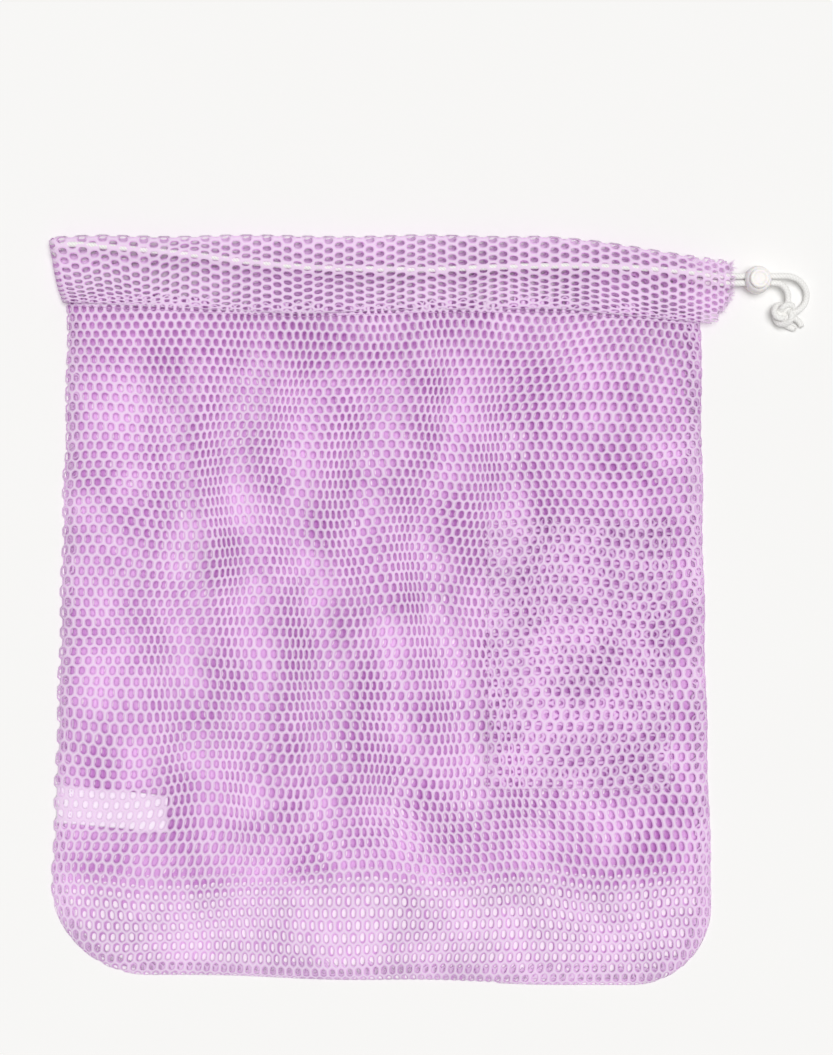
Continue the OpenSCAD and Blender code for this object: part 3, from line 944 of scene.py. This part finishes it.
def channel_place(u, v, raw=False):
    """u goes across the strip, from the outer edge over the fold to the inner edge, and v along it."""
    from_seam = CHANNEL_DEPTH - np.abs(u)
    from_seam = HEM_WRAP * np.logaddexp(0, from_seam / HEM_WRAP)
    half_arc = FOLD_R * math.pi / 2
    past_fold = np.maximum(CHANNEL_DEPTH - half_arc - from_seam, 0)
    across = past_fold / (CHANNEL_DEPTH - half_arc)  # 0 at the fold, 1 at the seam
    over = np.clip(u / FOLD_R, -math.pi / 2, math.pi / 2)  # angle round the fold
    inner = smoothstep(u, -2.5, 2.5)
    at = np.clip((v - SIDE_LEN) / TURN_LEN, 0, 1)  # round the left end
    x_front = raw_gather(v)
    x_back = raw_gather(2 * SIDE_LEN + TURN_LEN - v)
    x = np.where(v < SIDE_LEN, x_front, np.where(v > SIDE_LEN + TURN_LEN, x_back, TURN_X))
    reach = (1 - inner) * (TURN_X - CHANNEL_LEFT - 0.4) + inner * 1.0
    x = x - reach * np.sin(math.pi * at) + END_LEAN * across * smoothstep(-x, 130, 226)
    low_back = SEAM_Y + 6.5 * smoothstep(-x, 180, 224)
    low = seam_line(x) * (1 - at) + low_back * at
    high = fold_line(x)
    y = high - FOLD_R * (1 - np.cos(over)) - across * (high - FOLD_R - low)
    # the rows lie closer together below the cord than above it, and unevenly along the hem
    crowd = -3.5 + 4.2 * ripple(x, y, 73, 75) - 4.0 * smoothstep(-x, 120, 190) * smoothstep(x, -226, -205)
    y = y + crowd * 4 * across * (1 - across)
    if raw:
        return x, y, inner
    outer_f, inner_f, inner_b, outer_b = channel_levels(x, y)
    low_edge = 1 - np.exp(-(y - low) / 2.0)
    outer_f = outer_f - 1.3 * (1 - low_edge)
    close = np.exp(-past_fold / 3.0)  # both layers come together at the fold
    mid_f, mid_b = (outer_f + inner_f) / 2, (outer_b + inner_b) / 2
    front = np.where(u < 0, outer_f, inner_f)
    behind = np.where(u < 0, outer_b, inner_b)
    front = front + close * (mid_f - FOLD_R * np.sin(over) - front)
    behind = behind + close * (mid_b + FOLD_R * np.sin(over) - behind)
    swing = (1 + np.cos(math.pi * at)) / 2
    z = front * swing + behind * (1 - swing)
    return columns(x, y, z)


def strip_place(u, v, w):
    """The strip's surface moved out along its own normal."""
    step = 0.3
    here = channel_place(u, v)
    du = channel_place(u, v + step) - here
    dv = channel_place(u + step, v) - here
    out = np.cross(dv, du)
    out /= np.maximum(np.linalg.norm(out, axis=1, keepdims=True), 1e-9)
    return here + out * w


def channel_net():
    """The lattice's rows run across the strip here, so its cells lie on their sides."""
    total = 2 * SIDE_LEN + TURN_LEN
    cells = lattice(-CHANNEL_DEPTH - 8, CHANNEL_DEPTH + 8, -4, total + 4, STRIP_PITCH, STRIP_ROW)
    u, v = cells[:, 0] * STRIP_PITCH / 4, cells[:, 1] * STRIP_ROW / 6
    x, y, inner = channel_place(u, v, raw=True)
    rng = np.random.default_rng(81)
    ragged = RAW_END_X - 2.2 - rng.uniform(0, 3.5, len(cells))
    slant = 232 + (y - 203) * 14 / 22
    keep = (np.abs(u) < CHANNEL_DEPTH + 1.1 * STRIP_PITCH) & (x < np.minimum(ragged, slant))
    keep &= (inner < 0.5) | (x < INNER_END_X)

    # the strip's inner half on top, and all its lower faces, get part of the painted inside shade
    def sides(u):
        return np.where(u > 0, 0.4, 0.0), np.full_like(u, 0.4)
    return net(cells[keep], strip_place, 82, STRIP_PITCH, STRIP_ROW, slack=0.14, sides=sides)


def mark_painted_light(piece, share):
    """Mark the yarn that lies on something white, where it gets painted light. share(x, y, z) is how much of
    it is painted paler.
    """
    at = np.zeros(3 * len(piece.data.vertices), np.float32)
    piece.data.vertices.foreach_get("co", at)
    mark(piece.data, "painted_light_on_white", share(*(at.reshape(-1, 3).T / MM)))


def painted_light_over_cord(x, y, z):
    # painted light on the channel's upper yarn that lies just over the front cord
    off = (y - np.interp(x, FRONT_CORD[:, 0], FRONT_CORD[:, 1])) / 2.6
    return 0.85 * np.exp(-off ** 4) * (z > 11)


strip = net_piece("channel_net", [channel_net()], "cord_channel")
mark_painted_light(strip, painted_light_over_cord)

# ---- The inner pocket, sewn under the front ----

pocket_low, pocket_high = box_mm("inner_pocket")
(PX0, PY0), (PX1, PY1) = pocket_low[:2], pocket_high[:2]
POCKET_HEM = 12.0
POCKET_PITCH = 5.6
POCKET_ROW = 7.2


def pocket_height(x, y, drop):
    side = np.minimum(np.minimum(x - PX0, PX1 - x), y - PY0)
    sunk = 1 - np.exp(-np.maximum(side, 0) / 9)
    return front_height(x, y, np.full_like(x, 40.0)) - 0.85 - (1.5 + drop) * sunk


def pocket_place(drop):
    def place(u, v, w, raw=False):
        x = (PX0 + PX1) / 2 - v - 0.012 * (u + 30)
        y = (PY0 + PY1) / 2 + u
        x = x + 1.3 * ripple(x, y, 91, 70)
        y = y + 1.3 * ripple(x, y, 92, 80)
        if raw:
            return x, y
        x = np.clip(x, PX0 - 0.6, PX1 + 0.6)
        y = np.clip(y, PY0 - 0.6, PY1 + 0.6)
        z = pocket_height(x, y, drop)
        return columns(x, y, z + w)
    return place


def pocket_net(low_y, drop, seed):
    w, h = PX1 - PX0, PY1 - PY0
    cells = lattice(-h / 2 - 8, h / 2 + 8, -w / 2 - 8, w / 2 + 8, POCKET_PITCH, POCKET_ROW)
    place = pocket_place(drop)
    x, y = place(cells[:, 0] * POCKET_PITCH / 4, cells[:, 1] * POCKET_ROW / 6, 0.0, raw=True)
    keep = (x > PX0 - 0.8) & (x < PX1 + 0.8) & (y > low_y) & (y < PY1 - 0.5)
    # the pocket's upper face gets part of the painted inside shade, its lower face all of it
    return net(cells[keep], place, seed, POCKET_PITCH, POCKET_ROW, sides=inside_on(0.3, 1))


net_piece("pocket_net", [pocket_net(PY0 - 0.8, 0.0, 93)], "inner_pocket")
net_piece("pocket_hem_net", [pocket_net(PY1 - POCKET_HEM, 0.9, 94)], "pocket_hem")

# ---- The care label, sewn into the left side seam, blank ----

label_low, label_high = box_mm("care_label")
LABEL_LENGTH = 78.0
LABEL_WIDTH = 26.0
LABEL_SLANT = math.radians(-5.5)
LABEL_START = (label_low[0] + 1.0, (label_low[1] + label_high[1]) / 2 + 3.4)


def care_label():
    """A satin ribbon with a slight curl, that lies between the front and the back."""
    length, width, slant = LABEL_LENGTH, LABEL_WIDTH, LABEL_SLANT
    n, m = 64, 22
    s, t = np.meshgrid(np.linspace(0, length, n), np.linspace(-width / 2, width / 2, m), indexing="ij")
    x = LABEL_START[0] + s * math.cos(slant) - t * math.sin(slant) * 0.4
    y = LABEL_START[1] + s * math.sin(slant) + t * math.cos(slant) * (1 + 0.05 * (1 - s / length))
    flat_x, flat_y = x.ravel(), y.ravel()
    under = front_height(flat_x, flat_y, np.maximum(flat_x - left_side(flat_y), 0)).reshape(x.shape)
    z = np.minimum(under - 0.65, 2.2 + 1.4 * (s / length))
    z = z + 0.1 * np.sin(s / 9) + 0.08 * np.sin(t / 4 + s / 15)
    # selvedges are a little thicker than the ribbon between them
    half = 0.11 + 0.07 * (np.abs(t) > width / 2 - 1.2)
    top = np.stack([x, y, z + half], axis=-1).reshape(-1, 3)
    bottom = np.stack([x, y, z - half], axis=-1).reshape(-1, 3)
    grid = np.arange(n * m).reshape(n, m)
    a = grid[:-1, :-1].ravel()
    upper = columns(a, a + m, a + m + 1, a + 1)
    lower = upper[:, ::-1] + n * m
    rim = np.concatenate([grid[0], grid[1:, -1], grid[-1, -2::-1], grid[-2:0:-1, 0]])
    after = np.roll(rim, -1)
    edge = columns(rim, after, after + n * m, rim + n * m)
    quads = np.vstack([upper, lower, edge])
    shape = np.vstack([top, bottom]), quads, np.zeros((len(quads), 4, 2))
    piece = new_mesh("care_label_satin", shape, LABEL, ["care_label"])


care_label()


def painted_light_over_label(x, y, z):
    # painted light on the front's yarn that lies over the label
    along_it = (x - LABEL_START[0]) / math.cos(LABEL_SLANT)
    off = y - LABEL_START[1] - along_it * math.sin(LABEL_SLANT)
    return 0.8 * (along_it < LABEL_LENGTH) * (np.abs(off) < LABEL_WIDTH / 2) * (z > 1.5)


mark_painted_light(front, painted_light_over_label)

# ---- Thread ----

def on_front(x, y, lift):
    f = np.maximum(edge_distance(x, y)[0], 0)
    return columns(x, y, front_height(x, y, f) + lift)


def dashes(path, length=2.7, gap=0.7, radius=0.28, dip=0.45):
    """Lockstitches along a path: each stitch rises out of the cloth, lies on it and goes back in."""
    path = spaced(path, 0.3)
    parts = []
    for start in np.arange(0, along(path)[-1] - length, length + gap):
        line = points_at(path, np.linspace(start, start + length, 7))
        line[:, 2] -= dip * np.abs(np.linspace(-1, 1, 7)) ** 4
        parts.append(tube(line, radius * np.array([0.7, 0.95, 1, 1, 1, 0.95, 0.7]), 6))
    return parts


def thread_piece(name, parts, node):
    new_mesh(name, joined(parts), THREAD, [node])


def inset_line(inset, y_high, part):
    """The outline drawn in by a distance. part is left, bottom (with both corners) or right."""
    line = spaced(OUTLINE, 1.0)
    line = line + inset * left_of(unit(np.gradient(line, axis=0)))
    left_low = back_low[1] + CORNER_LEFT_R
    right_low = back_low[1] + CORNER_RIGHT_R
    pick = {
        "left": (line[:, 0] < 0) & (line[:, 1] >= left_low),
        "bottom": line[:, 1] < np.where(line[:, 0] < 0, left_low, right_low),
        "right": (line[:, 0] > 0) & (line[:, 1] >= right_low),
    }[part]
    return line[pick & (line[:, 1] < y_high)]


def overlock(part, inset=4.0, width=5.0, period=2.4):
    """An overlocked edge: two needle threads, and looper threads that go to and fro between them."""
    line = spaced(inset_line(inset + width / 2, SEAM_Y - 2, part), 0.3)
    at = along(line)
    across = left_of(unit(np.gradient(line, axis=0)))

    def track(offset, lift):
        x, y = line.T + across.T * offset
        low = back_height(x, y, np.full_like(x, 6.0)) + 0.6
        return columns(x, y, low + lift)
    wave = np.sin(math.tau * at / period)
    looper = track(wave * width / 2, 0.55 + 0.25 * np.cos(math.tau * at / period))
    under = track(-wave * width / 2, 0.15)
    parts = [tube(looper[::2], 0.27, 5), tube(under[::2], 0.27, 5)]
    for offset in (-width / 2 + 0.4, width / 2 - 0.9):
        parts += dashes(track(np.full(len(line), offset), 0.95), 2.2, 0.5, 0.25, 0.4)
    return parts


for part, node in (("left", "side_seam_left"), ("right", "side_seam_right"), ("bottom", "bottom_seam")):
    thread_piece("overlock_" + part, overlock(part), node)

x = np.linspace(-HALF_TOP + 8, HALF_TOP - 8, 300)
thread_piece("channel_stitches_front", dashes(on_front(x, seam_line(x) - 2.2, 0.75)),
             "channel_stitch_front")
x = np.linspace(-HALF_TOP + 12, HALF_TOP - 12, 300)
y = np.full_like(x, SEAM_Y - 3)
back_row = columns(x, y, back_height(x, y, np.full_like(x, 40)) + 0.6)
thread_piece("channel_stitches_back", dashes(back_row), "channel_stitch_back")

corners = [(PX0 + 1.2, PY1 - 1.5), (PX0 + 1.2, PY0 + 1.2), (PX1 - 1.2, PY0 + 1.2), (PX1 - 1.2, PY1 - 1.5)]
pocket_rows = []
for (xa, ya), (xb, yb) in zip(corners[:-1], corners[1:]):
    t = np.linspace(0, 1, 160)
    pocket_rows += dashes(on_front(xa + (xb - xa) * t, ya + (yb - ya) * t, 0.55))
thread_piece("pocket_stitches", pocket_rows, "pocket_stitch")

stitch_low, stitch_high = box_mm("label_stitch")
t = np.linspace(0, 1, 60)
label_row = columns(stitch_low[0] + 1.2 + 1.6 * t, stitch_low[1] + (stitch_high[1] - stitch_low[1]) * t,
                      np.full(60, 2.6))
thread_piece("label_stitches", dashes(label_row, 2.2, 0.6, 0.2, 0.5), "label_stitch")


def raw_yarns():
    """Cut yarn ends that stick out along the channel's raw end."""
    rng = np.random.default_rng(101)
    parts = []
    for _ in range(150):
        y = rng.uniform(203, 243)
        x = min(RAW_END_X - 4 + rng.uniform(-1, 1.5), 231 + (y - 203) * 14 / 22)
        levels = channel_levels(np.array([x]), np.array([y]))
        z = float(levels[0][0] if rng.random() < 0.6 else levels[3][0]) + rng.uniform(-0.3, 0.3)
        reach = rng.uniform(1.0, 4.2)
        turn = rng.normal(0, 0.5)
        ahead = np.array([math.cos(turn), math.sin(turn), rng.normal(-0.15, 0.2)])
        bend = rng.normal(0, 0.8, 3)
        start = np.array([x, y, z])
        path = np.array([start, start + ahead * reach * 0.5, start + ahead * reach + bend * 0.6])
        path[:, 2] = np.maximum(path[:, 2], 0.3)
        parts.append(tube(path, [0.24, 0.2, 0.1], 5))
    return parts


new_mesh("raw_end_yarns", joined(raw_yarns()), NET, rim=0.3)

# ---- The cord lock ----

for node, material in (("lock_housing", LOCK), ("lock_button", BUTTON)):
    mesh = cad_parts[node].data
    mesh.materials.clear()
    mesh.materials.append(material)

spring_low, spring_high = box_mm("lock_spring")
wire_r = 0.25
coil_r = (spring_high[0] - spring_low[0]) / 2 - wire_r
middle = (spring_low + spring_high) / 2
TURNS = 3.5
a = np.linspace(0, math.tau * TURNS, 170)
rise = np.linspace(spring_low[2] + wire_r, spring_high[2] - wire_r, 170)
coil = columns(middle[0] + coil_r * np.cos(a), middle[1] + coil_r * np.sin(a), rise)
spring = new_mesh("spring_coil", tube(coil, wire_r, 10), STEEL, ["lock_spring"], "lock")
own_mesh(spring)

# ---- Floor and light ----

def floor_material():
    n = Nodes("pale_floor")
    body = n.mix(n.noise(6.0, 4.0), (0.905, 0.9, 0.89), (0.915, 0.912, 0.902))
    return n.show(n.principled(Base_Color=body, Roughness=0.8, Specular_IOR_Level=0.1))


floor_mesh = bpy.data.meshes.new("floor")
floor_mesh.from_pydata([(-6, -6, 0), (6, -6, 0), (6, 6, 0), (-6, 6, 0)], [], [(0, 1, 2, 3)])
floor_mesh.materials.append(floor_material())
floor = placed("floor", floor_mesh)

AMBIENT = 0.32  # light that comes evenly from all round
BACKDROP = 0.93  # what the camera sees past the floor's edge
world = bpy.data.worlds.new("studio")
world.use_nodes = True
sky = world.node_tree
ambient = sky.nodes["Background"]
backdrop = sky.nodes.new("ShaderNodeBackground")
for shader, strength in ((ambient, AMBIENT), (backdrop, BACKDROP)):
    shader.inputs["Color"].default_value = (1.0, 0.995, 0.985, 1)
    shader.inputs["Strength"].default_value = strength
seen = sky.nodes.new("ShaderNodeLightPath")
both = sky.nodes.new("ShaderNodeMixShader")
sky.links.new(seen.outputs["Is Camera Ray"], both.inputs[0])
sky.links.new(ambient.outputs[0], both.inputs[1])
sky.links.new(backdrop.outputs[0], both.inputs[2])
sky.links.new(both.outputs[0], sky.nodes["World Output"].inputs["Surface"])
bpy.context.scene.world = world

# one broad soft light, nearly overhead and a little to the lock's side
key = bpy.data.lights.new("key", "SUN")
key.energy = 2.24
key.angle = math.radians(31)
placed("key", key).rotation_euler = Vector((0.42, 0.26, 3.6)).to_track_quat("Z", "Y").to_euler()
